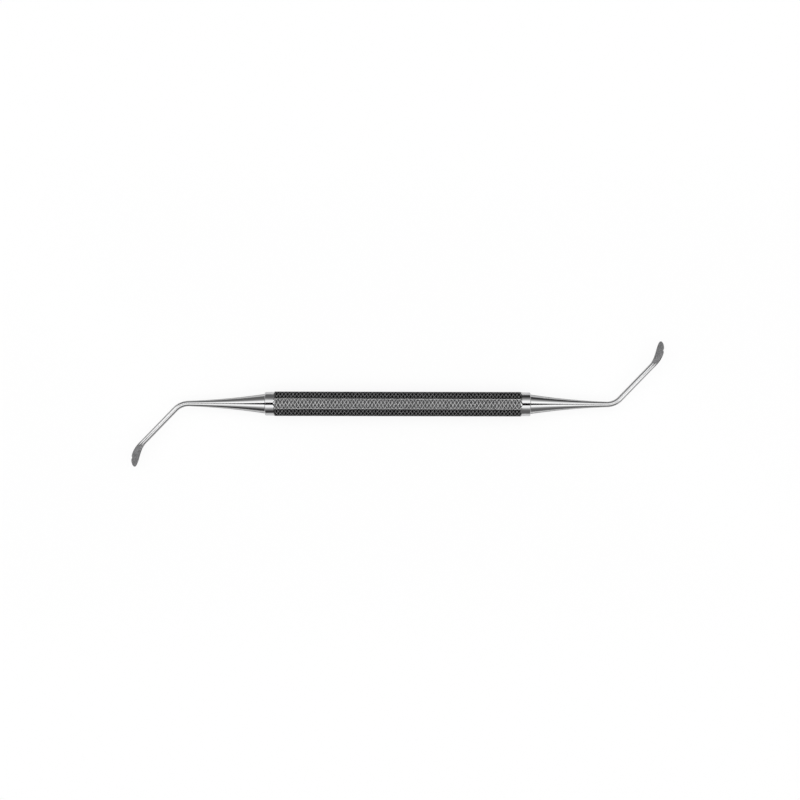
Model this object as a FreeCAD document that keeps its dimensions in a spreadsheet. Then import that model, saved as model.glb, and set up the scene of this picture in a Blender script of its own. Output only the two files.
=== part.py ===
import FreeCAD, Part
import math
import os

import Sketcher

# A double-ended sinus lift instrument: an octagonal knurled handle with a turned collar at each
# end, and two like working ends whose round tangs seat in blind bores in the handle's end faces.
# The instrument lies on one flat of the octagon. X runs along the handle, Z is up, the blades'
# faces look up, and the origin is below the handle's middle, on the surface that it lies on.

Vector = FreeCAD.Vector

SIZES = (
    ("GripLength", "81.2", "length of the octagonal grip"),
    ("GripAcrossFlats", "8.0", "octagon, across flats"),
    ("GripChamfer", "0.35", "turned chamfer on the ends of the octagon"),
    ("CollarLength", "2.9", "length of each turned collar"),
    ("CollarDiameter", "7.8", "diameter of each turned collar"),
    ("CollarChamfer", "0.33", "chamfer on the collar's outer rim"),
    ("KnurlPitch", "1.2", "distance of the knurl's lines along the handle"),
    ("KnurlAngle", "60.0", "angle of the knurl's lines to the handle's axis"),
    ("KnurlDepth", "0.26", "depth of a knurl pit below its crests"),
    ("KnurlCrestDrop", "0.03", "how far the crests lie below the flat"),
    ("KnurlEndMargin", "0.38", "least plain strip at each end of a flat"),
    ("KnurlEdgeLand", "0.09", "least plain strip along each edge of a flat"),
    ("TangDiameter", "4.0", "diameter of the tang"),
    ("TangLength", "12.0", "length of the tang"),
    ("TangClearance", "0.02", "braze gap round the tang"),
    ("TangEndGap", "0.3", "gap between the tang's end and the bottom of the bore"),
    ("TangChamfer", "0.4", "chamfer on the tang's end"),
    ("FlareBaseDiameter", "6.4", "flare, diameter at the collar"),
    ("FlareLength", "25.0", "flare, from the collar to the start of the bend"),
    ("FlareRunout", "2.0", "how far past its end the flare's curve would lie level"),
    ("ShankDiameter", "1.84", "diameter of the slim shank"),
    ("BendRadius", "6.2", "bend of the shank, at its centre line"),
    ("BendAngle", "46.0", "angle of the bend"),
    ("ShankLength", "14.9", "straight shank between the bend and the blade"),
    ("BladeSweepRadius", "10.5", "curve of the blade seen from above, at its centre line"),
    ("BladeBellyLength", "5.3", "along the blade, from its neck to its widest place"),
    ("BladeTipLength", "3.85", "from the widest place to the tip"),
    ("BladeTipPoint", "0.65", "how pointed the tip is: 0.5 is an ellipse, 1 a parabola"),
    ("BladeWidth", "2.6", "greatest width of the blade"),
    ("BladeThickness", "0.92", "thickness of the blade before its face is ground"),
    ("HollowRadius", "3.6", "radius of the hollow in the blade's face"),
    ("HollowFloor", "0.08", "height of the hollow's floor above the blade's middle plane"),
    ("HollowStart", "2.5", "from the neck to where the hollow reaches its floor"),
    ("HollowOverrun", "1.0", "how far the hollow runs on past the tip"),
    ("NotchPlace", "6.2", "relief notch, along the blade from its neck"),
    ("NotchRadius", "0.6", "radius of the relief notch"),
    ("NotchDepth", "0.14", "depth of the relief notch into the outer edge"),
)
GRIP_SIDES = 8
MILLING_OVERRUN = 1.0
KNURL_LID_SHARE = 1 / 8
BELLY_STEPS = 4
BELLY_EASING = 1.5
TIP_SHARES = (0.35, 0.6, 0.78, 0.9)
TIP_CAP_ANGLE = 50.0

GRIP_CORNER_RADIUS = "Sizes.GripAcrossFlats / 2 / cos(%r)" % (180.0 / GRIP_SIDES)
COLLAR_FACE = "(Sizes.GripLength / 2 + Sizes.CollarLength)"
BORE_RADIUS = "(Sizes.TangDiameter / 2 + Sizes.TangClearance)"
BORE_BOTTOM = "(%s - Sizes.TangLength - Sizes.TangEndGap)" % COLLAR_FACE
NECK_X = (
    "(Sizes.FlareLength + Sizes.BendRadius * sin(Sizes.BendAngle)"
    " + Sizes.ShankLength * cos(Sizes.BendAngle))"
)
NECK_Y = (
    "(Sizes.BendRadius * (1 - cos(Sizes.BendAngle))"
    " + Sizes.ShankLength * sin(Sizes.BendAngle))"
)
SWEEP_CENTRE_X = "(%s - Sizes.BladeSweepRadius * sin(Sizes.BendAngle))" % NECK_X
SWEEP_CENTRE_Y = "(%s + Sizes.BladeSweepRadius * cos(Sizes.BendAngle))" % NECK_Y


def make_sheet(doc):
    """The sheet of driving dimensions, in millimetres and degrees."""
    sheet = doc.addObject("Spreadsheet::Sheet", "Sizes")
    for row, (alias, value, meaning) in enumerate(SIZES, start=1):
        sheet.set("A%d" % row, meaning)
        sheet.set("B%d" % row, value)
        sheet.setAlias("B%d" % row, alias)
    doc.recompute()
    return sheet


def origin_feature(body, role):
    """The plane or axis of a body's own origin that has the given role."""
    return next(item for item in body.Origin.OriginFeatures if item.Role == role)


def attach(feature, body, role, place=None, turn_axis=None, turn=None):
    """Lays a feature on a plane of its body's origin; place and turn are bound expressions."""
    feature.AttachmentSupport = [(origin_feature(body, role), "")]
    feature.MapMode = "FlatFace"
    if turn_axis is not None:
        feature.AttachmentOffset = FreeCAD.Placement(Vector(), FreeCAD.Rotation(turn_axis, 1.0))
        feature.setExpression("AttachmentOffset.Rotation.Angle", turn)
    if place is not None:
        for letter, expression in zip("xyz", place):
            feature.setExpression("AttachmentOffset.Base." + letter, expression)


def bind(sketch, name, kind, where, expression):
    """Adds one dimension to a sketch and ties it to the sheet."""
    value = float(sketch.evalExpression(expression))
    number = sketch.addConstraint(Sketcher.Constraint(kind, *where, value))
    sketch.renameConstraint(number, name)
    sketch.setExpression("Constraints." + name, expression)


def closed_profile(body, name, role, corners, arc_side=None, arc_centre_x=None):
    """A closed outline whose corners are tied to the sheet; one of its sides may be an arc."""
    sketch = body.newObject("Sketcher::SketchObject", name)
    attach(sketch, body, role)
    points = [Vector(float(sketch.evalExpression(x)), float(sketch.evalExpression(y)), 0)
              for x, y in corners]
    for side, (start, end) in enumerate(zip(points, points[1:] + points[:1])):
        if side == arc_side:
            centre_x = float(sketch.evalExpression(arc_centre_x))
            half = (start + end) * 0.5
            across = end - start
            centre_y = half.y + (half.x - centre_x) * across.x / across.y
            centre = Vector(centre_x, centre_y, 0)
            circle = Part.Circle(centre, Vector(0, 0, 1), (start - centre).Length)
            angles = sorted(math.atan2(p.y - centre.y, p.x - centre.x) for p in (start, end))
            sketch.addGeometry(Part.ArcOfCircle(circle, *angles))
            bind(sketch, "ArcCentre", "DistanceX", (-1, 1, side, 3), arc_centre_x)
        else:
            sketch.addGeometry(Part.LineSegment(start, end))
    count = len(corners)
    for side in range(count):
        sketch.addConstraint(Sketcher.Constraint("Coincident", side, 2, (side + 1) % count, 1))
    for side, (x, y) in enumerate(corners):
        bind(sketch, "Across%d" % side, "DistanceX", (-1, 1, side, 1), x)
        if y == "0":
            sketch.addConstraint(Sketcher.Constraint("PointOnObject", side, 1, -1))
        else:
            bind(sketch, "Up%d" % side, "DistanceY", (-1, 1, side, 1), y)
    return sketch


def revolve(body, sketch, name):
    """A full turn of a profile about its own horizontal axis."""
    turned = body.newObject("PartDesign::Revolution", name)
    turned.Profile = sketch
    turned.ReferenceAxis = (sketch, ["H_Axis"])
    turned.Angle = 360.0
    return turned


def turned_bar(body):
    """The handle's bar as it leaves the lathe, with its collars and the bores for the tangs."""
    half = [
        (COLLAR_FACE, BORE_RADIUS),
        (COLLAR_FACE, "Sizes.CollarDiameter / 2 - Sizes.CollarChamfer"),
        (COLLAR_FACE + " - Sizes.CollarChamfer", "Sizes.CollarDiameter / 2"),
        ("Sizes.GripLength / 2", "Sizes.CollarDiameter / 2"),
        ("Sizes.GripLength / 2", GRIP_CORNER_RADIUS + " - Sizes.GripChamfer"),
        ("Sizes.GripLength / 2 - Sizes.GripChamfer", GRIP_CORNER_RADIUS),
    ]
    other_half = [("-(%s)" % x, y) for x, y in reversed(half)]
    bores = [
        ("-(%s)" % BORE_BOTTOM, BORE_RADIUS),
        ("-(%s)" % BORE_BOTTOM, "0"),
        (BORE_BOTTOM, "0"),
        (BORE_BOTTOM, BORE_RADIUS),
    ]
    outline = closed_profile(body, "bar_outline", "XY_Plane", half + other_half + bores)
    return revolve(body, outline, "turned_bar")


def milled_flats(body):
    """The octagon's flats: one milled away, then repeated round the axis."""
    reach = "(%s + %r)" % (GRIP_CORNER_RADIUS, MILLING_OVERRUN)
    level = "Sizes.GripAcrossFlats / 2"
    outline = closed_profile(
        body, "flat_outline", "XZ_Plane",
        [("-" + COLLAR_FACE, level), (COLLAR_FACE, level),
         (COLLAR_FACE, reach), ("-" + COLLAR_FACE, reach)])
    flat = body.newObject("PartDesign::Pocket", "flat")
    flat.Profile = outline
    flat.Type = "ThroughAll"
    flat.Midplane = True
    flats = body.newObject("PartDesign::PolarPattern", "flats")
    flats.Originals = [flat]
    flats.Axis = (origin_feature(body, "X_Axis"), [""])
    flats.Angle = 360.0
    flats.Occurrences = GRIP_SIDES
    body.Tip = flats
    return flats


def pit_faces(corners, incentre, depth):
    """The sloping faces of one pit, from the crest lines round it down to its lowest point."""
    lowest = Vector(incentre.x, incentre.y, incentre.z - depth)
    following = corners[1:] + corners[:1]
    return [Part.Face(Part.makePolygon([start, end, lowest, start]))
            for start, end in zip(corners, following)]


def incircle(corners):
    """The centre and radius of the circle that touches every side of a rhombus or triangle."""
    sides = [(end - start).Length for start, end in zip(corners, corners[1:] + corners[:1])]
    if len(corners) == 4:
        centre = (corners[0] + corners[2]) * 0.5
        half_diagonals = [(corner - centre).Length for corner in corners[:2]]
        return centre, half_diagonals[0] * half_diagonals[1] / sides[0]
    weights = sides[1:] + sides[:1]
    perimeter = sum(sides)
    centre = Vector()
    for corner, weight in zip(corners, weights):
        centre += corner * (weight / perimeter)
    half = perimeter / 2
    return centre, math.sqrt((half - sides[0]) * (half - sides[1]) * (half - sides[2]) / half)


def knurl_for_one_flat(sheet):
    """What the knurl takes out of a flat at z = 0: rows of rhombic pits between crossing lines."""
    angle = math.radians(sheet.KnurlAngle)
    pitch = sheet.KnurlPitch
    row_height = pitch * math.tan(angle) / 2
    flat_width = sheet.GripAcrossFlats * math.tan(math.pi / GRIP_SIDES)
    rounding = 1e-6
    cells = int((sheet.GripLength - 2 * sheet.KnurlEndMargin) / pitch + rounding)
    rows = int((flat_width - 2 * sheet.KnurlEdgeLand) / row_height + rounding)
    slope = sheet.KnurlDepth / (pitch * math.sin(angle) / 2)
    crest = -sheet.KnurlCrestDrop

    def crossing(column, row):
        return Vector((column - cells / 2) * pitch, (row - rows / 2) * row_height, crest)

    faces = []
    for row in range(rows + 1):
        first = 0.5 if row % 2 == 0 else 0.0
        count = cells if row % 2 == 0 else cells + 1
        for column in (first + step for step in range(count)):
            corners = [(column - 0.5, row), (column, row - 1), (column + 0.5, row), (column, row + 1)]
            kept = [crossing(x, y) for x, y in corners if 0 <= x <= cells and 0 <= y <= rows]
            if len(kept) == 2:
                kept.append(crossing(column, row))
            centre, radius = incircle(kept)
            faces += pit_faces(kept, centre, radius * slope)

    def border_row(row):
        inner = [crossing(step + (row % 2) / 2, row) for step in range(cells + 1)]
        if row % 2 == 0:
            return inner
        return [crossing(0, row)] + inner[:-1] + [crossing(cells, row)]

    def border_column(column):
        places = [row for row in range(rows + 1) if row % 2 == 0 or row == rows]
        return [crossing(column, row) for row in places]

    above = sheet.GripAcrossFlats * KNURL_LID_SHARE
    for border in (border_row(0), border_row(rows), border_column(0), border_column(cells)):
        start, end = border[0], border[-1]
        lid = [Vector(end.x, end.y, above), Vector(start.x, start.y, above), start]
        faces.append(Part.Face(Part.makePolygon(border + lid)))
    corner = crossing(cells, rows)
    lid = Part.makePlane(2 * corner.x, 2 * corner.y, Vector(-corner.x, -corner.y, above))
    shell = Part.makeShell(faces + [lid])
    shell.sewShape()
    solid = Part.makeSolid(shell)
    if solid.Volume < 0:
        solid.reverse()
    return solid


def knurl_cutter(doc, sheet):
    """The knurl of all eight flats, set round the handle's axis."""
    one = knurl_for_one_flat(sheet)
    one.translate(Vector(0, 0, sheet.GripAcrossFlats / 2))
    cutters = []
    for side in range(GRIP_SIDES):
        turned = one.copy()
        turned.rotate(Vector(), Vector(1, 0, 0), side * 360.0 / GRIP_SIDES)
        cutters.append(turned)
    cutter = doc.addObject("Part::Feature", "knurl_cutter")
    cutter.Shape = Part.makeCompound(cutters)
    return cutter


def handle(doc, sheet):
    """The octagonal grip with its collars: turned, milled and knurled from one bar."""
    bar = doc.addObject("PartDesign::Body", "handle_bar")
    turned_bar(bar)
    milled_flats(bar)
    knurled = doc.addObject("Part::Cut", "handle")
    knurled.Base = bar
    knurled.Tool = knurl_cutter(doc, sheet)
    knurled.Refine = False
    knurled.Label = "handle"
    knurled.setExpression("Placement.Base.z", "Sizes.GripAcrossFlats / 2")
    return knurled


def tang_and_flare(body):
    """The tang in the handle's bore, the shoulder on the collar's face and the flared cone."""
    shank = "Sizes.ShankDiameter / 2"
    outline = closed_profile(
        body, "flare_outline", "XY_Plane",
        [("-Sizes.TangLength", "0"),
         ("-Sizes.TangLength", "Sizes.TangDiameter / 2 - Sizes.TangChamfer"),
         ("-Sizes.TangLength + Sizes.TangChamfer", "Sizes.TangDiameter / 2"),
         ("0", "Sizes.TangDiameter / 2"),
         ("0", "Sizes.FlareBaseDiameter / 2"),
         ("Sizes.FlareLength", shank),
         ("Sizes.FlareLength", "0")],
        arc_side=4, arc_centre_x="Sizes.FlareLength + Sizes.FlareRunout")
    return revolve(body, outline, "tang_and_flare")


def bent_shank(body):
    """The slim round shank: its bend, then its straight run up to the blade."""
    path = body.newObject("Sketcher::SketchObject", "shank_path")
    attach(path, body, "XY_Plane")
    radius = float(path.evalExpression("Sizes.BendRadius"))
    angle = math.radians(float(path.evalExpression("Sizes.BendAngle")))
    start = Vector(float(path.evalExpression("Sizes.FlareLength")), 0, 0)
    straight = float(path.evalExpression("Sizes.ShankLength"))
    centre = start + Vector(0, radius, 0)
    bend_end = centre + Vector(math.sin(angle), -math.cos(angle), 0) * radius
    neck = bend_end + Vector(math.cos(angle), math.sin(angle), 0) * straight
    circle = Part.Circle(centre, Vector(0, 0, 1), radius)
    path.addGeometry(Part.ArcOfCircle(circle, -math.pi / 2, angle - math.pi / 2))
    path.addGeometry(Part.LineSegment(bend_end, neck))
    path.addConstraint(Sketcher.Constraint("PointOnObject", 0, 1, -1))
    path.addConstraint(Sketcher.Constraint("Vertical", 0, 3, 0, 1))
    path.addConstraint(Sketcher.Constraint("Tangent", 0, 2, 1, 1))
    bind(path, "Start", "DistanceX", (-1, 1, 0, 1), "Sizes.FlareLength")
    bind(path, "Bend", "Radius", (0,), "Sizes.BendRadius")
    bind(path, "NeckAcross", "DistanceX", (-1, 1, 1, 2), NECK_X)
    bind(path, "NeckUp", "DistanceY", (-1, 1, 1, 2), NECK_Y)
    section = round_section(body, "shank_section", ("0", "0", "Sizes.FlareLength"), None)
    shank = body.newObject("PartDesign::AdditivePipe", "shank")
    shank.Profile = section
    shank.Spine = (path, ["Edge1", "Edge2"])
    return shank


def round_section(body, name, place, turn):
    """The shank's round section, square to its path."""
    sketch = body.newObject("Sketcher::SketchObject", name)
    turn_axis = None if turn is None else Vector(0, 1, 0)
    attach(sketch, body, "YZ_Plane", place, turn_axis, turn)
    radius = float(sketch.evalExpression("Sizes.ShankDiameter / 2"))
    sketch.addGeometry(Part.Circle(Vector(), Vector(0, 0, 1), radius))
    sketch.addConstraint(Sketcher.Constraint("Coincident", 0, 3, -1, 1))
    bind(sketch, "Round", "Radius", (0,), "Sizes.ShankDiameter / 2")
    return sketch


def oval_section(body, name, place, turn, width, thickness):
    """A section of the forged blade: wider than it is thick."""
    sketch = body.newObject("Sketcher::SketchObject", name)
    attach(sketch, body, "YZ_Plane", place, Vector(0, 1, 0), turn)
    half_width = float(sketch.evalExpression(width)) / 2
    half_thickness = float(sketch.evalExpression(thickness)) / 2
    oval = Part.Ellipse(Vector(half_width, 0, 0), Vector(0, half_thickness, 0), Vector())
    sketch.addGeometry(oval)
    sketch.exposeInternalGeometry(0)
    sketch.addConstraint(Sketcher.Constraint("Coincident", 0, 3, -1, 1))
    sketch.addConstraint(Sketcher.Constraint("Horizontal", 1))
    bind(sketch, "Width", "Distance", (1,), width)
    bind(sketch, "Thickness", "Distance", (2,), thickness)
    return sketch


def blade_place(along, outward="0"):
    """Where the blade's centre line is at a length from the neck, and its heading there."""
    heading = "(Sizes.BendAngle + (%s) / Sizes.BladeSweepRadius * 180 / pi)" % along
    reach = "(Sizes.BladeSweepRadius + %s)" % outward
    across = "(%s + %s * sin(%s))" % (SWEEP_CENTRE_X, reach, heading)
    up = "(%s - %s * cos(%s))" % (SWEEP_CENTRE_Y, reach, heading)
    return across, up, heading


def tip_narrowing(share):
    """How much of its greatest width the blade keeps at a share of the way from belly to tip."""
    return "(1 - (%s) ^ 2) ^ Sizes.BladeTipPoint" % share


def forged_blade(body):
    """The blade before grinding: the round shank spreads into an oval and narrows to a round tip."""
    across, up, heading = blade_place("0")
    sections = [round_section(body, "neck_section", (up, "0", across), heading)]
    for step in range(1, BELLY_STEPS + 1):
        share = step / BELLY_STEPS
        spread = math.sin(share * math.pi / 2) ** BELLY_EASING
        across, up, heading = blade_place("Sizes.BladeBellyLength * %r" % share)
        width = "Sizes.ShankDiameter + (Sizes.BladeWidth - Sizes.ShankDiameter) * %r" % spread
        thickness = "Sizes.ShankDiameter + (Sizes.BladeThickness - Sizes.ShankDiameter) * %r" % spread
        name = "belly_section_%d" % step
        sections.append(oval_section(body, name, (up, "0", across), heading, width, thickness))
    for step, share in enumerate(TIP_SHARES, start=1):
        across, up, heading = blade_place("Sizes.BladeBellyLength + Sizes.BladeTipLength * %r" % share)
        width = "Sizes.BladeWidth * " + tip_narrowing(repr(share))
        thickness = "Sizes.BladeThickness * sqrt(%s)" % tip_narrowing(repr(share))
        name = "tip_section_%d" % step
        sections.append(oval_section(body, name, (up, "0", across), heading, width, thickness))
    spread_blade = body.newObject("PartDesign::AdditiveLoft", "spread_blade")
    spread_blade.Profile = sections[0]
    spread_blade.Sections = sections[1:]
    return tip_cap(body, sections[-1], width, thickness)


def tip_cap(body, section, width, thickness):
    """The rounded end past the last section: the end of an ellipsoid that goes on narrowing there."""
    level = math.sin(math.radians(TIP_CAP_ANGLE))
    spread = math.cos(math.radians(TIP_CAP_ANGLE))
    length = "(Sizes.BladeTipLength * %r / %r)" % (1 - TIP_SHARES[-1], 1 - level)
    cap = body.newObject("PartDesign::AdditiveEllipsoid", "tip_cap")
    cap.AttachmentSupport = [(section, "")]
    cap.MapMode = "ObjectXY"
    cap.setExpression("AttachmentOffset.Base.z", "-%s * %r" % (length, level))
    cap.setExpression("Radius1", length)
    cap.setExpression("Radius2", "%s / 2 / %r" % (width, spread))
    cap.setExpression("Radius3", "%s / 2 / %r" % (thickness, spread))
    cap.Angle1 = TIP_CAP_ANGLE
    cap.Angle2 = 90.0
    return cap


def hollow_face(body):
    """The face's hollow, ground along the blade's curve, with a round run-out at the neck."""
    height = "Sizes.HollowRadius + Sizes.HollowFloor"
    across, up, heading = blade_place("Sizes.HollowStart")
    reach = "(Sizes.BladeBellyLength + Sizes.BladeTipLength + Sizes.HollowOverrun - Sizes.HollowStart)"
    runout = body.newObject("PartDesign::SubtractiveSphere", "hollow_runout")
    attach(runout, body, "XY_Plane", (across, up, height))
    runout.setExpression("Radius", "Sizes.HollowRadius")
    hollow = body.newObject("PartDesign::SubtractiveTorus", "hollow")
    attach(hollow, body, "XY_Plane", (SWEEP_CENTRE_X, SWEEP_CENTRE_Y, height),
           Vector(0, 0, 1), heading + " - 90")
    hollow.setExpression("Radius1", "Sizes.BladeSweepRadius")
    hollow.setExpression("Radius2", "Sizes.HollowRadius")
    hollow.setExpression("Angle3", "%s / Sizes.BladeSweepRadius * 180 / pi" % reach)
    return hollow


def relief_notch(body):
    """The small round notch where the ground tip ends on the blade's outer edge."""
    past_belly = "(Sizes.NotchPlace - Sizes.BladeBellyLength) / Sizes.BladeTipLength"
    half_width = "Sizes.BladeWidth / 2 * " + tip_narrowing(past_belly)
    outward = "%s + Sizes.NotchRadius - Sizes.NotchDepth" % half_width
    across, up, heading = blade_place("Sizes.NotchPlace", outward)
    notch = body.newObject("PartDesign::SubtractiveCylinder", "relief_notch")
    attach(notch, body, "XY_Plane", (across, up, "-Sizes.BladeThickness"))
    notch.setExpression("Radius", "Sizes.NotchRadius")
    notch.setExpression("Height", "2 * Sizes.BladeThickness")
    return notch


def working_end(doc, label, side):
    """One working end, ground from one bar. side is 1 at the handle's +X end and -1 at the other."""
    body = doc.addObject("PartDesign::Body", label)
    body.Label = label
    tang_and_flare(body)
    bent_shank(body)
    doc.recompute()
    forged_blade(body)
    hollow_face(body)
    body.Tip = relief_notch(body)
    body.Placement = FreeCAD.Placement(Vector(), FreeCAD.Rotation(Vector(0, 0, 1), 90 - 90 * side))
    body.setExpression("Placement.Base.x", "%d * %s" % (side, COLLAR_FACE))
    body.setExpression("Placement.Base.z", "Sizes.GripAcrossFlats / 2")
    return body


def check(doc, pieces):
    """Stops if an object failed to build or a piece isn't one sound solid."""
    for item in doc.Objects:
        if "Invalid" in item.State or "Error" in item.State:
            raise RuntimeError("%s did not build: %s" % (item.Name, item.State))
    for piece in pieces:
        shape = piece.Shape
        if shape.isNull() or not shape.isValid() or len(shape.Solids) != 1:
            raise RuntimeError("%s isn't one valid solid" % piece.Label)
        print("%s: %.2f mm3" % (piece.Label, shape.Volume))


def main():
    doc = FreeCAD.newDocument("sinus_lift_instrument")
    sheet = make_sheet(doc)
    pieces = [
        handle(doc, sheet),
        working_end(doc, "working_end_right", 1),
        working_end(doc, "working_end_left", -1),
    ]
    doc.recompute()
    check(doc, pieces)
    os.makedirs("parts", exist_ok=True)
    for piece in pieces:
        piece.Shape.exportStep("parts/%s.step" % piece.Label)


main()
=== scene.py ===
import math

import bmesh
import bpy
from mathutils import Matrix, Vector


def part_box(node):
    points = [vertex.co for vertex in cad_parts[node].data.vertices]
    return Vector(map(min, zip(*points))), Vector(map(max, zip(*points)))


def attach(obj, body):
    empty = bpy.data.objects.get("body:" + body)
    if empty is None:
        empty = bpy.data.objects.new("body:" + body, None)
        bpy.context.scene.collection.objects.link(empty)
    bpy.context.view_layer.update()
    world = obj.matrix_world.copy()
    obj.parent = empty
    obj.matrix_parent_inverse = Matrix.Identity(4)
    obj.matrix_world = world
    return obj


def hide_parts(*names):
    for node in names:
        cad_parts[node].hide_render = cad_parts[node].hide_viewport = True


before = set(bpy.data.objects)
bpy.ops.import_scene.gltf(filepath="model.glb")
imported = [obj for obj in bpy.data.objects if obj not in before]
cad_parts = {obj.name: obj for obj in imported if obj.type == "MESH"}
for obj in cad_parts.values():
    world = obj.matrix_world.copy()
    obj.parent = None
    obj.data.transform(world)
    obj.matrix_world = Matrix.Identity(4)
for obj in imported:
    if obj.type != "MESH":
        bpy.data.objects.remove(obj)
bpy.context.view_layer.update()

handle_low, handle_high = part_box("handle")

MM = 0.001
MERGE = 0.0005 * MM
SHARP_ANGLE = math.radians(28)
ROUND_STEPS = 96

# Camera, aimed at a point of the handle's plane
PICTURE_WIDTH = 262.4 * MM
LOOK_AT = (0.74 * MM, 1.31 * MM)
PICTURE_TURN = math.radians(0.13)
LENS = 100
SENSOR_WIDTH = 36

# Studio, in metres, with angles in degrees from straight up; the tent's opposite quarters are alike
LIGHT_LEVEL = 1.82
TENT_RADIUS = 0.75
TENT_LENGTH = 2.4
TENT_FOOT_HEIGHT = 0.002
TENT_STEPS = 48
SHARP_SIDE = ((28, 0.9), (38, 0.62), (49, 0.31), (60, 0.16), (71, 0.06), (84, 0.02), (90, 0.02))
SOFT_SIDE = ((28, 0.85), (32, 0.72), (41.5, 0.37), (52.5, 0.175), (63.5, 0.11), (75.5, 0.1), (90, 0.12))
SIDE_BLEND = 0.005
SLOT_EDGE = 11.3
CARD_OFFSET = 0.155
CARD_HALF_WIDTH = 0.032
CARD_START = 0.105
END_GLOW = 0.22
END_GLOW_START, END_GLOW_FULL = 0.52, 0.64
LAMP_EDGE = 28.0
LAMP_SHARE = 0.5
LAMP_INSET = 0.97
LAMP_SPAN = 0.95
FLOOR_HALF_SIZE = 6.0
FLOOR_GREY = 0.93
FLOOR_ROUGHNESS = 0.15
FLOOR_GLOW_IN_MIRRORS = 0.25
FLOOR_GLOW_IN_VIEW = 0.9
# Painted reflection: at a slant, mirrored rays see the floor darkened, standing in for the dark
# surroundings mirrored in a glossy floor
FLOOR_FADE_START, FLOOR_FADE_END = 0.66, 0.82
FLOOR_FADE_SHARE = 0.75
ROOM_SIZE = (3.2, 3.2, 1.6)
ROOM_MIDDLE_HEIGHT = 0.7
ROOM_GREY = 0.04

# Finishes: each stop is a place on a ramp and a colour there
# The knurl's colours, from its dark pits to its bright crests, over a value that holds both wear and
# painted shade
WEAR_AND_SHADE_COLOURS = (
    (0.06, (0.01, 0.01, 0.011, 1)), (0.4, (0.155, 0.155, 0.158, 1)), (0.92, (0.97, 0.97, 0.975, 1)))
PATCH_SCALE = 900.0
PATCH_DETAIL = 3.0
PATCH_LOW, PATCH_HIGH = 0.3, 0.7
PATCH_WEAR = 0.06
PIT_ROUGHNESS, CREST_ROUGHNESS = 0.42, 0.3
COLLAR_COLOUR = (0.56, 0.56, 0.565, 1)
RING_SCALES = (12000, 900, 900)
RING_DETAIL = 2.0
RING_ROUGHNESS_LOW, RING_ROUGHNESS_HIGH = 0.04, 0.1
SHANK_COLOUR = (0.6, 0.6, 0.604, 1)
GRAIN_COLOURS = ((0.35, (0.18, 0.18, 0.183, 1)), (0.65, (0.29, 0.29, 0.294, 1)))
GRAIN_SCALE = 2600.0
GRAIN_DETAIL = 3.0
SHANK_ROUGHNESS, SATIN_ROUGHNESS = 0.07, 0.45
SLANTED_TINT = (0.3, 0.3, 0.3, 1)

# Handle, in metres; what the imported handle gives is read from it
ACROSS_FLATS = handle_high.z - handle_low.z
AXIS_HEIGHT = (handle_high.z + handle_low.z) / 2
COLLAR_FACE = handle_high.x
GRIP_SIDES = 8
COLLAR_LENGTH = 2.9 * MM
COLLAR_RADIUS = 3.9 * MM
COLLAR_CHAMFER = 0.33 * MM
COLLAR_LAND = 0.04 * MM
COLLAR_RIM_STEPS = 6
GRIP_END = COLLAR_FACE - COLLAR_LENGTH
GRIP_CHAMFER = 0.35 * MM
GRIP_CORNER_RADIUS = ACROSS_FLATS / 2 / math.cos(math.pi / GRIP_SIDES)
GRIP_EDGE_BREAK = 0.03 * MM
FLAT_HALF_WIDTH = ACROSS_FLATS / 2 * math.tan(math.pi / GRIP_SIDES)
BORE_RADIUS = 2.02 * MM
BORE_DEPTH = 12.3 * MM

# Knurl, in metres; the wear levels are shares of full brightness, and those of the flats also carry
# painted light and shade
KNURL_PITCH = 1.2 * MM
KNURL_ROW = KNURL_PITCH * math.tan(math.radians(60)) / 2
KNURL_COLUMNS = 67
KNURL_ROWS = 3
KNURL_CREST_DROP = 0.03 * MM
KNURL_DEPTH_SHARE = 0.5
CREST_HALF_WIDTH = 0.05 * MM
SHOULDER = 0.045 * MM
SHOULDER_DROP = 0.02 * MM
WALL_SHARE = 0.65
WALL_DROP_SHARE = 0.7
FLOOR_DROP_SHARE = 0.15
WHOLE_PITCH_SHARE = 0.9
# Painted light lifts the pits of the upper and the lower flat; painted shade holds down the crests and
# plain frames of the other six flats
UPPER_LOWER_PIT_PAINTED_LIGHT = 0.33
SIDE_CREST_WEAR_AND_SHADE = 0.72
SIDE_FRAME_PAINTED_SHADE = 0.2

# Working ends, in metres; the blade is measured along its centre line from the neck
TANG_RADIUS = 2.0 * MM
TANG_LENGTH = 12.0 * MM
TANG_CHAMFER = 0.4 * MM
FLARE_BASE_RADIUS = 3.2 * MM
FLARE_LENGTH = 25.0 * MM
FLARE_RUNOUT = 8.0 * MM
FLARE_STEPS = 24
SHANK_RADIUS = 0.89 * MM
SHANK_LENGTH = 14.9 * MM
BEND_RADIUS = 6.2 * MM
BEND_ANGLE = math.radians(46)
BEND_STEPS = 24
BLADE_SWEEP_RADIUS = 10.5 * MM
BLADE_HALF_WIDTH = 1.287 * MM
BLADE_HALF_THICKNESS = 0.46 * MM
BELLY_LENGTH = 5.3 * MM
BELLY_EASING = 1.5
BELLY_STEPS = 8
TIP_LENGTH = 3.62 * MM
TIP_POINT = 0.52
TIP_STEPS = 40
HOLLOW_RADIUS = 3.6 * MM
HOLLOW_CENTRE_HEIGHT = 3.68 * MM
HOLLOW_START = 5.0 * MM
HOLLOW_STEPS = 30
HOLLOW_CROWDING = 1.6
HOLLOW_RUNOUT_RADIUS = 16.0 * MM
HOLLOW_LEAN_AT_NECK = -1.1 * MM
HOLLOW_LEAN = 0.12 * MM
HOLLOW_LEAN_END = 5.0 * MM
WHEEL_TURNS = [math.radians(degrees) for degrees in range(60, 131)]
HALVINGS = 40
REGRIP = 3.0 * MM
REGRIP_STEPS = 24
RIM_AT = math.radians(30)
SATIN_RUNOUT = 3.2 * MM
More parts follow.
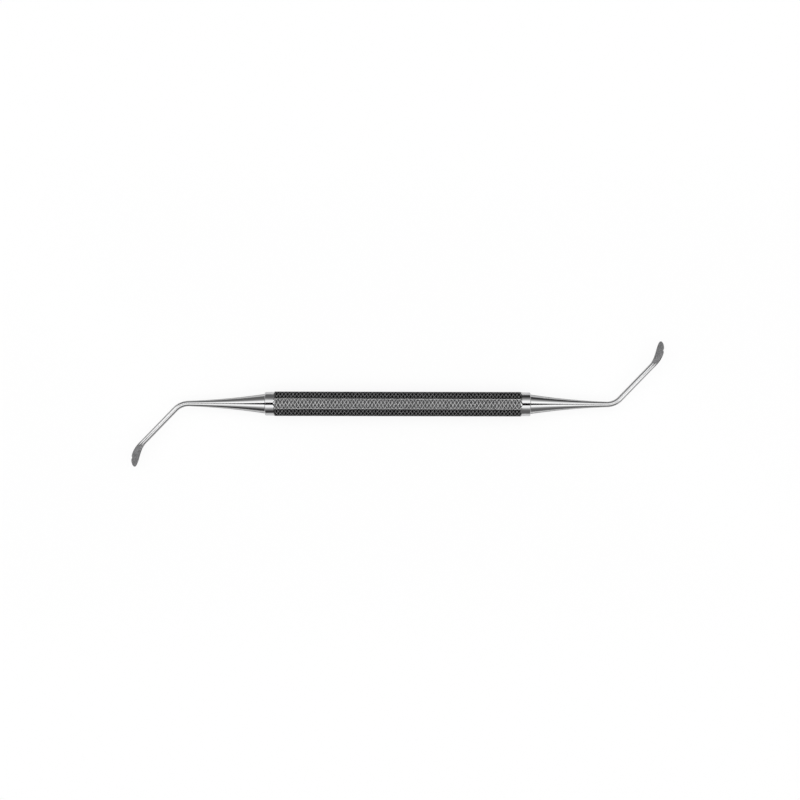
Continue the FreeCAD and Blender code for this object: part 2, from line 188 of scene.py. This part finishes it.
POLISH_WEDGE = 0.45 * MM
POLISH_FADE = 0.35 * MM
NOTCH_PLACE = 6.2 * MM
NOTCH_RADIUS = 0.55 * MM
NOTCH_DEPTH = 0.24 * MM


# Nodes

def grey(level):
    return level, level, level, 1


def new_material(name):
    """A material and its emptied node tree."""
    material = bpy.data.materials.new(name)
    material.use_nodes = True
    material.node_tree.nodes.clear()
    return material, material.node_tree


def add_node(tree, kind, feeds, **settings):
    """Adds a node. The feeds give inputs, by name or place, a value or another node's output."""
    node = tree.nodes.new(kind)
    for name, value in settings.items():
        setattr(node, name, value)
    for place, feed in feeds.items():
        if isinstance(feed, bpy.types.NodeSocket):
            tree.links.new(feed, node.inputs[place])
        else:
            node.inputs[place].default_value = feed
    return node


def set_surface(tree, shader):
    add_node(tree, "ShaderNodeOutputMaterial", {"Surface": shader.outputs[0]})


def calculated(tree, operation, *feeds, **settings):
    """The result of one sum or comparison."""
    node = add_node(tree, "ShaderNodeMath", dict(enumerate(feeds)), operation=operation, **settings)
    return node.outputs[0]


def remapped(tree, value, start, end, low, high):
    """Runs from low to high while the value runs from start to end."""
    node = add_node(tree, "ShaderNodeMapRange", {
        "Value": value, "From Min": start, "From Max": end, "To Min": low, "To Max": high})
    return node.outputs["Result"]


def ramp(tree, value, stops):
    """The colours of the stops, along the value."""
    node = add_node(tree, "ShaderNodeValToRGB", {"Fac": value})
    elements = node.color_ramp.elements
    while len(elements) < len(stops):
        elements.new(0.5)
    for element, (place, colour) in zip(elements, stops):
        element.position = place
        element.color = colour
    return node.outputs["Color"]


def mixed_colour(tree, share, first, second, **settings):
    node = add_node(
        tree, "ShaderNodeMix", {"Factor": share, "A": first, "B": second}, data_type="RGBA", **settings)
    return node.outputs["Result"]


def mixed_shader(tree, share, first, second):
    return add_node(tree, "ShaderNodeMixShader", {
        "Fac": share, 1: first.outputs[0], 2: second.outputs[0]})


def object_place(tree):
    """The place in the object's own space, which moves and turns with it."""
    return add_node(tree, "ShaderNodeTexCoord", {}).outputs["Object"]


def noise(tree, place, scale, detail):
    node = add_node(tree, "ShaderNodeTexNoise", {"Vector": place, "Scale": scale, "Detail": detail})
    return node.outputs["Fac"]


def mesh_value(tree, name):
    """The value that the mesh keeps at its corner points under that name."""
    return add_node(tree, "ShaderNodeAttribute", {}, attribute_name=name).outputs["Fac"]


def set_steel(tree, colour, roughness):
    """Makes the surface bare metal."""
    steel = add_node(tree, "ShaderNodeBsdfPrincipled", {
        "Base Color": colour, "Roughness": roughness, "Metallic": 1.0})
    set_surface(tree, steel)
    return steel


# Shaping

def verts_of(geometry):
    return [item for item in geometry if isinstance(item, bmesh.types.BMVert)]


def edges_among(bm, ring):
    """The edges whose two ends are both in the ring."""
    members = set(ring)
    near = dict.fromkeys(edge for vert in ring for edge in vert.link_edges)
    return [edge for edge in near if edge.verts[0] in members and edge.verts[1] in members]


def extruded(bm, loop):
    """Extrudes a closed loop of edges in place and returns the new loop and its vertices."""
    made = bmesh.ops.extrude_edge_only(bm, edges=loop)
    ring = verts_of(made["geom"])
    return edges_among(bm, ring), ring


def trim(bm, point, normal):
    """Cuts away what lies past a plane."""
    geometry = bm.verts[:] + bm.edges[:] + bm.faces[:]
    bmesh.ops.bisect_plane(
        bm, geom=geometry, dist=MERGE, plane_co=point, plane_no=normal, clear_outer=True)


def new_object(name, bm, materials):
    """Turns the mesh under construction into an object of the scene."""
    mesh = bpy.data.meshes.new(name)
    bm.to_mesh(mesh)
    bm.free()
    for material in materials:
        mesh.materials.append(material)
    piece = bpy.data.objects.new(name, mesh)
    bpy.context.scene.collection.objects.link(piece)
    return piece


def finished(bm, name, materials, node):
    """Makes the piece that stands for a node of the part, and lets it ride with the part."""
    piece = new_object(name, bm, materials)
    piece.data.set_sharp_from_angle(angle=SHARP_ANGLE)
    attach(piece, "root")
    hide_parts(node)


# Camera

def camera():
    """Looks straight down, as the photograph does, with the handle level across the picture."""
    data = bpy.data.cameras.new("camera")
    data.lens = LENS
    data.sensor_width = SENSOR_WIDTH
    eye = bpy.data.objects.new("camera", data)
    distance = PICTURE_WIDTH * LENS / SENSOR_WIDTH
    eye.location = Vector((*LOOK_AT, AXIS_HEIGHT)) + Vector((0, 0, distance))
    eye.rotation_euler = (0, 0, PICTURE_TURN)
    bpy.context.scene.collection.objects.link(eye)
    bpy.context.scene.camera = eye


# Studio

def floor_material():
    """White to the camera and pale in mirrored rays, with part of the object's shadow kept; at a slant,
    mirrored rays see it painted dark, a painted reflection of the dark surroundings.
    """
    material, tree = new_material("pale_floor")
    matte = add_node(tree, "ShaderNodeBsdfPrincipled", {
        "Base Color": grey(FLOOR_GREY), "Roughness": FLOOR_ROUGHNESS})
    white = add_node(tree, "ShaderNodeEmission", {"Strength": 1.0})
    dark = add_node(tree, "ShaderNodeEmission", {"Strength": 0.0})
    rays = add_node(tree, "ShaderNodeLightPath", {}).outputs
    mirrored = calculated(tree, "MAXIMUM", rays["Is Glossy Ray"], rays["Is Transmission Ray"])
    in_mirrors = calculated(tree, "MULTIPLY", mirrored, FLOOR_GLOW_IN_MIRRORS)
    in_view = calculated(tree, "MULTIPLY", rays["Is Camera Ray"], FLOOR_GLOW_IN_VIEW)
    near = mixed_shader(tree, calculated(tree, "MAXIMUM", in_mirrors, in_view), matte, white)
    # Painted reflection: towards a slant the floor turns dark in mirrored rays, for the dark
    # surroundings that a glossy floor would mirror
    slant = add_node(tree, "ShaderNodeLayerWeight", {}).outputs["Facing"]
    painted_slant_dark = remapped(tree, slant, FLOOR_FADE_START, FLOOR_FADE_END, 0.0, FLOOR_FADE_SHARE)
    set_surface(tree, mixed_shader(tree, calculated(tree, "MULTIPLY", painted_slant_dark, mirrored), near, dark))
    material.cycles.emission_sampling = "NONE"
    return material


def light_fade(tree, from_top, stops):
    """The tent's brightness over the angle from straight up."""
    return ramp(tree, from_top, [(degrees / 90, grey(share)) for degrees, share in stops])


def tent_material():
    """The tent's cloth: bright above, fading towards the floor, with a dark slot for the camera."""
    material, tree = new_material("light_tent")
    apart = add_node(tree, "ShaderNodeSeparateXYZ", {"Vector": object_place(tree)})
    x, y, z = (apart.outputs[axis] for axis in "XYZ")
    angle = calculated(tree, "ARCTAN2", calculated(tree, "ABSOLUTE", y), z)
    from_top = calculated(tree, "DIVIDE", angle, math.pi / 2)
    side = remapped(tree, calculated(tree, "MULTIPLY", x, y), -SIDE_BLEND, SIDE_BLEND, 0.0, 1.0)
    glow = mixed_colour(
        tree, side, light_fade(tree, from_top, SOFT_SIDE), light_fade(tree, from_top, SHARP_SIDE))
    off_centre = calculated(tree, "ABSOLUTE", x)
    far_ends = remapped(tree, off_centre, END_GLOW_START, END_GLOW_FULL, 0.0, END_GLOW)
    cloth = mixed_colour(tree, 1.0, glow, far_ends, blend_type="ADD")

    # Bright cards cross the slot on the diagonal, where only the slanted shanks mirror them
    beside = calculated(tree, "ABSOLUTE", calculated(tree, "ADD", x, y))
    card = calculated(tree, "COMPARE", beside, CARD_OFFSET, CARD_HALF_WIDTH)
    past_collars = calculated(tree, "GREATER_THAN", off_centre, CARD_START)
    cards = calculated(tree, "MULTIPLY", card, past_collars)
    in_slot = calculated(tree, "LESS_THAN", from_top, SLOT_EDGE / 90)
    set_surface(tree, add_node(tree, "ShaderNodeEmission", {
        "Color": mixed_colour(tree, in_slot, cloth, cards), "Strength": LIGHT_LEVEL}))
    return material


def soft_lamp(name, side):
    """A long soft lamp beside the tent's slot. It lights the floor, and no mirrored ray sees it."""
    lean = side * math.radians((SLOT_EDGE + LAMP_EDGE) / 2)
    distance = LAMP_INSET * TENT_RADIUS
    data = bpy.data.lights.new(name, "AREA")
    data.shape = "RECTANGLE"
    data.size = LAMP_SPAN * TENT_LENGTH
    data.size_y = 2 * distance * math.tan(math.radians((LAMP_EDGE - SLOT_EDGE) / 2))
    data.energy = LAMP_SHARE * LIGHT_LEVEL * math.pi * data.size * data.size_y
    lamp = bpy.data.objects.new(name, data)
    lamp.location = (0, math.sin(lean) * distance, math.cos(lean) * distance)
    lamp.rotation_euler = (-lean, 0, 0)
    lamp.visible_glossy = False
    bpy.context.scene.collection.objects.link(lamp)


def room_material():
    material, tree = new_material("dark_room")
    set_surface(tree, add_node(tree, "ShaderNodeBsdfDiffuse", {"Color": grey(ROOM_GREY)}))
    return material


def stage_piece(name, bm, material):
    piece = new_object(name, bm, [material])
    return piece


def studio():
    """A pale floor under an arched light tent, in a dark room; the camera sees only the floor."""
    floor_bm = bmesh.new()
    bmesh.ops.create_grid(floor_bm, x_segments=1, y_segments=1, size=FLOOR_HALF_SIZE)
    stage_piece("floor", floor_bm, floor_material())

    room_bm = bmesh.new()
    bmesh.ops.create_cube(room_bm, size=1.0)
    bmesh.ops.scale(room_bm, vec=Vector(ROOM_SIZE), verts=room_bm.verts)
    bmesh.ops.translate(room_bm, vec=Vector((0, 0, ROOM_MIDDLE_HEIGHT)), verts=room_bm.verts)
    stage_piece("room", room_bm, room_material()).visible_camera = False

    tent_bm = bmesh.new()
    foot = tent_bm.verts.new((-TENT_LENGTH / 2, TENT_RADIUS, TENT_FOOT_HEIGHT))
    bmesh.ops.spin(
        tent_bm, geom=[foot], cent=Vector(), axis=Vector((1, 0, 0)), angle=math.pi, steps=TENT_STEPS)
    made = bmesh.ops.extrude_edge_only(tent_bm, edges=tent_bm.edges[:])
    bmesh.ops.translate(tent_bm, vec=Vector((TENT_LENGTH, 0, 0)), verts=verts_of(made["geom"]))
    stage_piece("tent", tent_bm, tent_material()).visible_camera = False
    soft_lamp("far_lamp", 1)
    soft_lamp("near_lamp", -1)

    world = bpy.data.worlds.new("white_backdrop")
    world.use_nodes = True
    world.node_tree.nodes["Background"].inputs["Color"].default_value = grey(1)
    bpy.context.scene.world = world


# Finishes

def knurl_material():
    """Steel dark in the pits and worn bright along the crests, with painted light on the upper and the
    lower flat and painted shade on the other six.
    """
    material, tree = new_material("knurled_steel")
    patches = noise(tree, object_place(tree), PATCH_SCALE, PATCH_DETAIL)
    uneven = remapped(tree, patches, PATCH_LOW, PATCH_HIGH, -PATCH_WEAR, PATCH_WEAR)
    # The mesh value holds the crests' wear together with the flats' painted light and shade
    wear_and_shade = calculated(tree, "ADD", mesh_value(tree, "crest_wear_and_painted_shade"), uneven, use_clamp=True)
    roughness = remapped(tree, wear_and_shade, 0.0, 1.0, PIT_ROUGHNESS, CREST_ROUGHNESS)
    set_steel(tree, ramp(tree, wear_and_shade, WEAR_AND_SHADE_COLOURS), roughness)
    return material


def polished_material():
    """Mirror-polished steel with the faint rings that turning and buffing leave."""
    material, tree = new_material("polished_steel")
    stretch = add_node(tree, "ShaderNodeMapping", {"Vector": object_place(tree), "Scale": RING_SCALES})
    rings = noise(tree, stretch.outputs["Vector"], 1.0, RING_DETAIL)
    roughness = remapped(tree, rings, 0.0, 1.0, RING_ROUGHNESS_LOW, RING_ROUGHNESS_HIGH)
    set_steel(tree, COLLAR_COLOUR, roughness)
    return material


def blade_end_material():
    """The polish of the shank, giving way to the satin of the ground blade."""
    material, tree = new_material("working_end_steel")
    satin = mesh_value(tree, "satin")
    grain = noise(tree, object_place(tree), GRAIN_SCALE, GRAIN_DETAIL)
    tint = mixed_colour(tree, satin, SHANK_COLOUR, ramp(tree, grain, GRAIN_COLOURS))
    roughness = remapped(tree, satin, 0.0, 1.0, SHANK_ROUGHNESS, SATIN_ROUGHNESS)
    set_steel(tree, tint, roughness).inputs["Specular Tint"].default_value = SLANTED_TINT
    return material


# Handle

def sink_pit(bm, face):
    """Turns one rhombus or triangle between the crests into a pit with a rounded shoulder."""
    inradius = 2 * face.calc_area() / face.calc_perimeter()
    depth = inradius * KNURL_DEPTH_SHARE
    wall = (inradius - CREST_HALF_WIDTH - SHOULDER) * WALL_SHARE
    for thickness, rise in (
            (CREST_HALF_WIDTH, 0.0), (SHOULDER, -SHOULDER_DROP), (wall, -depth * WALL_DROP_SHARE)):
        bmesh.ops.inset_individual(bm, faces=[face], thickness=thickness, depth=rise)
    bmesh.ops.poke(bm, faces=[face], offset=-depth * FLOOR_DROP_SHARE)


def knurled_flat(bm):
    """One flat of the grip, face up: crossing crests round rhombic pits, in a plain frame."""
    reach = KNURL_COLUMNS // 2 + 2 * KNURL_ROWS
    bmesh.ops.create_grid(bm, x_segments=2 * reach, y_segments=2 * reach, size=reach)
    diagonal = math.sqrt(2)
    bmesh.ops.rotate(bm, cent=Vector(), matrix=Matrix.Rotation(math.pi / 4, 3, "Z"), verts=bm.verts)
    bmesh.ops.scale(
        bm, vec=Vector((KNURL_PITCH / diagonal, 2 * KNURL_ROW / diagonal, 1)), verts=bm.verts)
    bmesh.ops.translate(bm, vec=Vector((0, -KNURL_ROW / 2, 0)), verts=bm.verts)
    half_length = KNURL_COLUMNS * KNURL_PITCH / 2
    half_width = KNURL_ROWS * KNURL_ROW / 2
    for side in (1, -1):
        trim(bm, Vector((side * half_length, 0, 0)), Vector((side, 0, 0)))
        trim(bm, Vector((0, side * half_width, 0)), Vector((0, side, 0)))
    for face in bm.faces[:]:
        sink_pit(bm, face)

    # The plain frame: a small step up from the crests, then flat out to the flat's own edges
    border, ring = extruded(bm, [edge for edge in bm.edges if edge.is_boundary])
    bmesh.ops.translate(bm, vec=Vector((0, 0, KNURL_CREST_DROP)), verts=ring)
    border, ring = extruded(bm, border)
    widening = Vector(((GRIP_END - GRIP_CHAMFER) / half_length, FLAT_HALF_WIDTH / half_width, 1))
    bmesh.ops.scale(bm, vec=widening, verts=ring)

    # The long sides are cut up to meet those of the next flats, and the ends to meet the collar's steps
    long_edges = [edge for edge in border if edge.calc_length() > WHOLE_PITCH_SHARE * KNURL_PITCH
                  and abs(edge.verts[0].co.y - edge.verts[1].co.y) < MERGE]
    bmesh.ops.subdivide_edges(bm, edges=long_edges, cuts=1)
    for edge in border:
        across = abs(edge.verts[0].co.y - edge.verts[1].co.y)
        if across > MERGE:
            cuts = round(across / FLAT_HALF_WIDTH * ROUND_STEPS / GRIP_SIDES / 2) - 1
            bmesh.ops.subdivide_edges(bm, edges=[edge], cuts=cuts)


def turned_end(bm, side, loop):
    """Carries the grip on into its end chamfer, the collar and the bore for the tang."""
    rounding = [step / COLLAR_RIM_STEPS * math.pi / 2 for step in range(COLLAR_RIM_STEPS + 1)]
    stations = [(GRIP_END, GRIP_CORNER_RADIUS - GRIP_CHAMFER), (GRIP_END, COLLAR_RADIUS),
                (COLLAR_FACE - COLLAR_CHAMFER - COLLAR_LAND, COLLAR_RADIUS)]
    stations += [(COLLAR_FACE - COLLAR_CHAMFER * (1 - math.sin(turn)),
                  COLLAR_RADIUS - COLLAR_CHAMFER * (1 - math.cos(turn))) for turn in rounding]
    stations += [(COLLAR_FACE, BORE_RADIUS), (COLLAR_FACE - BORE_DEPTH, BORE_RADIUS)]
    for x, radius in stations:
        loop, ring = extruded(bm, loop)
        for vert in ring:
            out = radius / math.hypot(vert.co.y, vert.co.z)
            vert.co = Vector((side * x, vert.co.y * out, vert.co.z * out))
    bmesh.ops.edgeloop_fill(bm, edges=loop)


def depth_below_flats(point):
    """How far a point lies inside the plain octagon."""
    return min(
        ACROSS_FLATS / 2
        - point.y * math.cos(turn * 2 * math.pi / GRIP_SIDES)
        - point.z * math.sin(turn * 2 * math.pi / GRIP_SIDES)
        for turn in range(GRIP_SIDES))


def wear_and_painted_shade_at(point):
    """How bright the steel is there: worn bright on the crests, with the upper and the lower flat
    painted lighter, pits included, and the other six painted darker as shade.
    """
    below_crest = depth_below_flats(point) - KNURL_CREST_DROP
    rubbed = min(1.0, max(0.0, 1 - below_crest / (2 * SHOULDER_DROP)))
    # Painted light: the upper and the lower flat are lighter, pits included
    if abs(point.y) < FLAT_HALF_WIDTH - GRIP_EDGE_BREAK / 2:
        return UPPER_LOWER_PIT_PAINTED_LIGHT + (1 - UPPER_LOWER_PIT_PAINTED_LIGHT) * rubbed
    # Painted shade: the other six flats' plain frames and crests are darker, their pits darkest
    if below_crest < -KNURL_CREST_DROP / 2:
        return SIDE_FRAME_PAINTED_SHADE
    return SIDE_CREST_WEAR_AND_SHADE * rubbed


def handle(materials):
    """The knurled octagonal grip and its two turned collars, as one bar."""
    bm = bmesh.new()
    knurled_flat(bm)
    crest_height = ACROSS_FLATS / 2 - KNURL_CREST_DROP
    bmesh.ops.translate(bm, vec=Vector((0, 0, crest_height)), verts=bm.verts)
    bmesh.ops.spin(
        bm, geom=bm.verts[:] + bm.edges[:] + bm.faces[:], cent=Vector(), axis=Vector((1, 0, 0)),
        angle=2 * math.pi * (GRIP_SIDES - 1) / GRIP_SIDES, steps=GRIP_SIDES - 1, use_duplicate=True)
    bmesh.ops.remove_doubles(bm, verts=bm.verts, dist=MERGE)
    corners = [edge for edge in bm.edges
               if all(math.hypot(v.co.y, v.co.z) > GRIP_CORNER_RADIUS - MERGE for v in edge.verts)]
    bmesh.ops.bevel(
        bm, geom=corners, offset=GRIP_EDGE_BREAK, affect="EDGES", segments=2, profile=0.5, material=-1)
    ends = [edge for edge in bm.edges if edge.is_boundary]
    knurled = set(bm.faces)
    for side in (1, -1):
        turned_end(bm, side, [edge for edge in ends if edge.verts[0].co.x * side > 0])
    for face in bm.faces:
        if face not in knurled:
            face.smooth = True
            face.material_index = 1
    bmesh.ops.recalc_face_normals(bm, faces=bm.faces)
    # Kept at each corner point: the crests' wear with the flats' painted light and shade
    wear_and_shade = bm.verts.layers.float.new("crest_wear_and_painted_shade")
    for vert in bm.verts:
        vert[wear_and_shade] = wear_and_painted_shade_at(vert.co)
    bmesh.ops.translate(bm, vec=Vector((0, 0, AXIS_HEIGHT)), verts=bm.verts)
    finished(bm, "knurled_handle", materials, "handle")


# Working ends

def flare_radius(x):
    """The flare's radius: an arc that narrows from the collar and runs out level."""
    centre_x = FLARE_LENGTH + FLARE_RUNOUT
    rise = FLARE_BASE_RADIUS - SHANK_RADIUS
    centre_y = (FLARE_BASE_RADIUS + SHANK_RADIUS) / 2 + (centre_x**2 - FLARE_RUNOUT**2) / (2 * rise)
    radius = math.hypot(centre_x, centre_y - FLARE_BASE_RADIUS)
    return centre_y - math.sqrt(radius**2 - (x - centre_x)**2)


def tang_and_flare(bm):
    """The tang, the shoulder on the collar's face and the flare, turned about X."""
    profile = [
        (-TANG_LENGTH, 0.0),
        (-TANG_LENGTH, TANG_RADIUS - TANG_CHAMFER),
        (-TANG_LENGTH + TANG_CHAMFER, TANG_RADIUS),
        (0.0, TANG_RADIUS),
    ]
    flare = [FLARE_LENGTH * step / FLARE_STEPS for step in range(FLARE_STEPS + 1)]
    profile += [(x, flare_radius(x)) for x in flare]
    verts = [bm.verts.new((x, radius, 0)) for x, radius in profile]
    edges = [bm.edges.new(pair) for pair in zip(verts, verts[1:])]
    bmesh.ops.spin(
        bm, geom=verts + edges, cent=Vector(), axis=Vector((1, 0, 0)),
        angle=2 * math.pi, steps=ROUND_STEPS, use_merge=True)
    bmesh.ops.remove_doubles(bm, verts=bm.verts, dist=MERGE)
    return [edge for edge in bm.edges if edge.is_boundary]


def outward_at(heading):
    """The level direction to the outer side of the bend, for that heading."""
    return Vector((math.sin(heading), -math.cos(heading), 0))


def centre_line(along):
    """A point of the centre line, by its length from the neck, and the heading there."""
    forward = Vector((math.cos(BEND_ANGLE), math.sin(BEND_ANGLE), 0))
    inward = Vector((-math.sin(BEND_ANGLE), math.cos(BEND_ANGLE), 0))
    bend_centre = Vector((FLARE_LENGTH, BEND_RADIUS, 0))
    neck = bend_centre - inward * BEND_RADIUS + forward * SHANK_LENGTH
    if along <= 0:
        return neck + forward * along, BEND_ANGLE
    heading = BEND_ANGLE + along / BLADE_SWEEP_RADIUS
    return neck + (inward + outward_at(heading)) * BLADE_SWEEP_RADIUS, heading


def half_sizes(along):
    """Half the width and half the thickness of the forged blade."""
    if along <= 0:
        return SHANK_RADIUS, SHANK_RADIUS
    if along <= BELLY_LENGTH:
        spread = math.sin(along / BELLY_LENGTH * math.pi / 2) ** BELLY_EASING
        return (SHANK_RADIUS + (BLADE_HALF_WIDTH - SHANK_RADIUS) * spread,
                SHANK_RADIUS + (BLADE_HALF_THICKNESS - SHANK_RADIUS) * spread)
    share = min(1.0, (along - BELLY_LENGTH) / TIP_LENGTH)
    kept = (1 - share**2) ** TIP_POINT
    return BLADE_HALF_WIDTH * kept, BLADE_HALF_THICKNESS * math.sqrt(kept)


def wheel_centre(along):
    """Where the grinding wheel's centre is in the section there: across and up."""
    short_of = max(0.0, HOLLOW_START - along)
    rise = HOLLOW_RUNOUT_RADIUS - math.sqrt(max(0.0, HOLLOW_RUNOUT_RADIUS**2 - short_of**2))
    share = min(1.0, max(0.0, along / HOLLOW_LEAN_END))
    eased = share * share * (3 - 2 * share)
    lean = HOLLOW_LEAN_AT_NECK + (HOLLOW_LEAN - HOLLOW_LEAN_AT_NECK) * eased
    return lean, HOLLOW_CENTRE_HEIGHT + rise


def distance_from_wheel(along, turn):
    """How far a point of the forged outline lies from the wheel's centre."""
    half_width, half_thickness = half_sizes(along)
    lean, height = wheel_centre(along)
    return math.hypot(half_width * math.cos(turn) - lean, half_thickness * math.sin(turn) - height)


def deepest_turn(along):
    """The angle, on the forged outline, that the wheel reaches first."""
    return min(WHEEL_TURNS, key=lambda turn: distance_from_wheel(along, turn))


def first_outside(inside, outside, holds):
    """The place between the two, found by halving, from which the test no longer holds."""
    for _ in range(HALVINGS):
        middle = (inside + outside) / 2
        if holds(middle):
            inside = middle
        else:
            outside = middle
    return outside


def hollow_begins():
    """The length from the neck at which the wheel first touches the shank."""
    return first_outside(HOLLOW_START, -HOLLOW_START, lambda along: (
        distance_from_wheel(along, deepest_turn(along)) < HOLLOW_RADIUS))


def rim_turn(along, edge_turn):
    """The angle on the forged outline where the ground face ends, towards one of the edges."""
    return first_outside(deepest_turn(along), edge_turn, lambda turn: (
        distance_from_wheel(along, turn) < HOLLOW_RADIUS))


def rim_turns(along, begins):
    """The angles of the outer and the inner rim; before the hollow, those that the ring closes on."""
    if along > begins:
        return rim_turn(along, 0.0), rim_turn(along, math.pi)
    share = min(1.0, max(0.0, (along + REGRIP) / (begins + REGRIP)))
    meeting = deepest_turn(begins)
    outer = RIM_AT + (meeting - RIM_AT) * share
    inner = math.pi - RIM_AT + (meeting - math.pi + RIM_AT) * share
    return outer, inner


def notch_limit(along):
    """How far out the relief notch lets the outer edge reach."""
    beside = along - NOTCH_PLACE
    if abs(beside) >= NOTCH_RADIUS:
        return BLADE_HALF_WIDTH
    bottom = half_sizes(NOTCH_PLACE)[0] - NOTCH_DEPTH
    return bottom + NOTCH_RADIUS - math.sqrt(NOTCH_RADIUS**2 - beside**2)


def section_point(along, turn, rims, ground):
    """The blade's outline at that length, for one of the ring's turns, across and up."""
    half_width, half_thickness = half_sizes(along)
    outer, inner = rims
    if RIM_AT <= turn <= math.pi - RIM_AT:
        share = (turn - RIM_AT) / (math.pi - 2 * RIM_AT)
        if ground:
            lean, height = wheel_centre(along)
            across = half_width * (math.cos(outer) + (math.cos(inner) - math.cos(outer)) * share)
            across = min(across, notch_limit(along))
            return across, height - math.sqrt(HOLLOW_RADIUS**2 - (across - lean)**2)
        turned = outer + (inner - outer) * share
    else:
        below = turn if turn < math.pi / 2 else turn - 2 * math.pi
        share = (RIM_AT - below) / (math.pi + 2 * RIM_AT)
        turned = outer + (inner - 2 * math.pi - outer) * share
    across = half_width * math.cos(turned)
    return min(across, notch_limit(along)), half_thickness * math.sin(turned)


def blade_stations(begins):
    """The lengths from the neck at which the blade's outline is set."""
    stations = [-REGRIP + (begins + REGRIP) * step / REGRIP_STEPS for step in range(1, REGRIP_STEPS + 1)]
    stations += [begins + (HOLLOW_START - begins) * (step / HOLLOW_STEPS) ** HOLLOW_CROWDING
                 for step in range(1, HOLLOW_STEPS + 1)]
    stations += [HOLLOW_START + (BELLY_LENGTH - HOLLOW_START) * step / BELLY_STEPS
                 for step in range(1, BELLY_STEPS + 1)]
    stations += [BELLY_LENGTH + TIP_LENGTH * math.sin(step / TIP_STEPS * math.pi / 2)
                 for step in range(1, TIP_STEPS + 1)]
    return stations


def satin_share(along, turn, begins):
    """How satin the steel is there: the polish runs out down the middle of the ground face."""
    if RIM_AT < turn < math.pi - RIM_AT and along >= begins:
        aside = abs(turn - math.pi / 2) / (math.pi / 2 - RIM_AT)
        past_wedge = along - begins - POLISH_WEDGE * (1 - aside)
        return min(1.0, max(0.0, past_wedge / POLISH_FADE))
    return min(1.0, max(0.0, along / SATIN_RUNOUT))


def working_end(name, node, side, material):
    """One working end: turned, bent and forged from one bar, with its face ground hollow."""
    bm = bmesh.new()
    round_turn = bm.verts.layers.float.new("round_turn")
    satin = bm.verts.layers.float.new("satin")
    loop = tang_and_flare(bm)
    ring = list(dict.fromkeys(vert for edge in loop for vert in edge.verts))
    bent = bmesh.ops.spin(
        bm, geom=ring + loop, cent=Vector((FLARE_LENGTH, BEND_RADIUS, 0)), axis=Vector((0, 0, 1)),
        angle=BEND_ANGLE, steps=BEND_STEPS)
    loop, ring = extruded(bm, edges_among(bm, verts_of(bent["geom_last"])))
    bend_end, heading = centre_line(-SHANK_LENGTH)
    start, heading = centre_line(-REGRIP)
    bmesh.ops.translate(bm, vec=start - bend_end, verts=ring)
    for vert in ring:
        out = vert.co - start
        vert[round_turn] = math.atan2(out.z, out.dot(outward_at(heading))) % (2 * math.pi)
    begins = hollow_begins()
    for along in blade_stations(begins):
        rims = rim_turns(along, begins)
        loop, ring = extruded(bm, loop)
        centre, heading = centre_line(along)
        outward = outward_at(heading)
        for vert in ring:
            turn = round(vert[round_turn] / (2 * math.pi) * ROUND_STEPS) % ROUND_STEPS
            turn *= 2 * math.pi / ROUND_STEPS
            across, up = section_point(along, turn, rims, along > begins)
            vert.co = centre + outward * across + Vector((0, 0, up))
            vert[satin] = satin_share(along, turn, begins)
    bmesh.ops.remove_doubles(bm, verts=bm.verts, dist=MERGE)
    bmesh.ops.recalc_face_normals(bm, faces=bm.faces)
    for face in bm.faces:
        face.smooth = True
    place = Matrix.Translation((side * COLLAR_FACE, 0, AXIS_HEIGHT))
    turned = Matrix.Rotation(0 if side > 0 else math.pi, 4, "Z")
    bmesh.ops.transform(bm, matrix=place @ turned, verts=bm.verts)
    finished(bm, name, [material], node)


def build():
    camera()
    studio()
    handle([knurl_material(), polished_material()])
    end_steel = blade_end_material()
    working_end("right_working_end", "working_end_right", 1, end_steel)
    working_end("left_working_end", "working_end_left", -1, end_steel)
    bpy.context.scene.view_settings.view_transform = "Standard"


build()
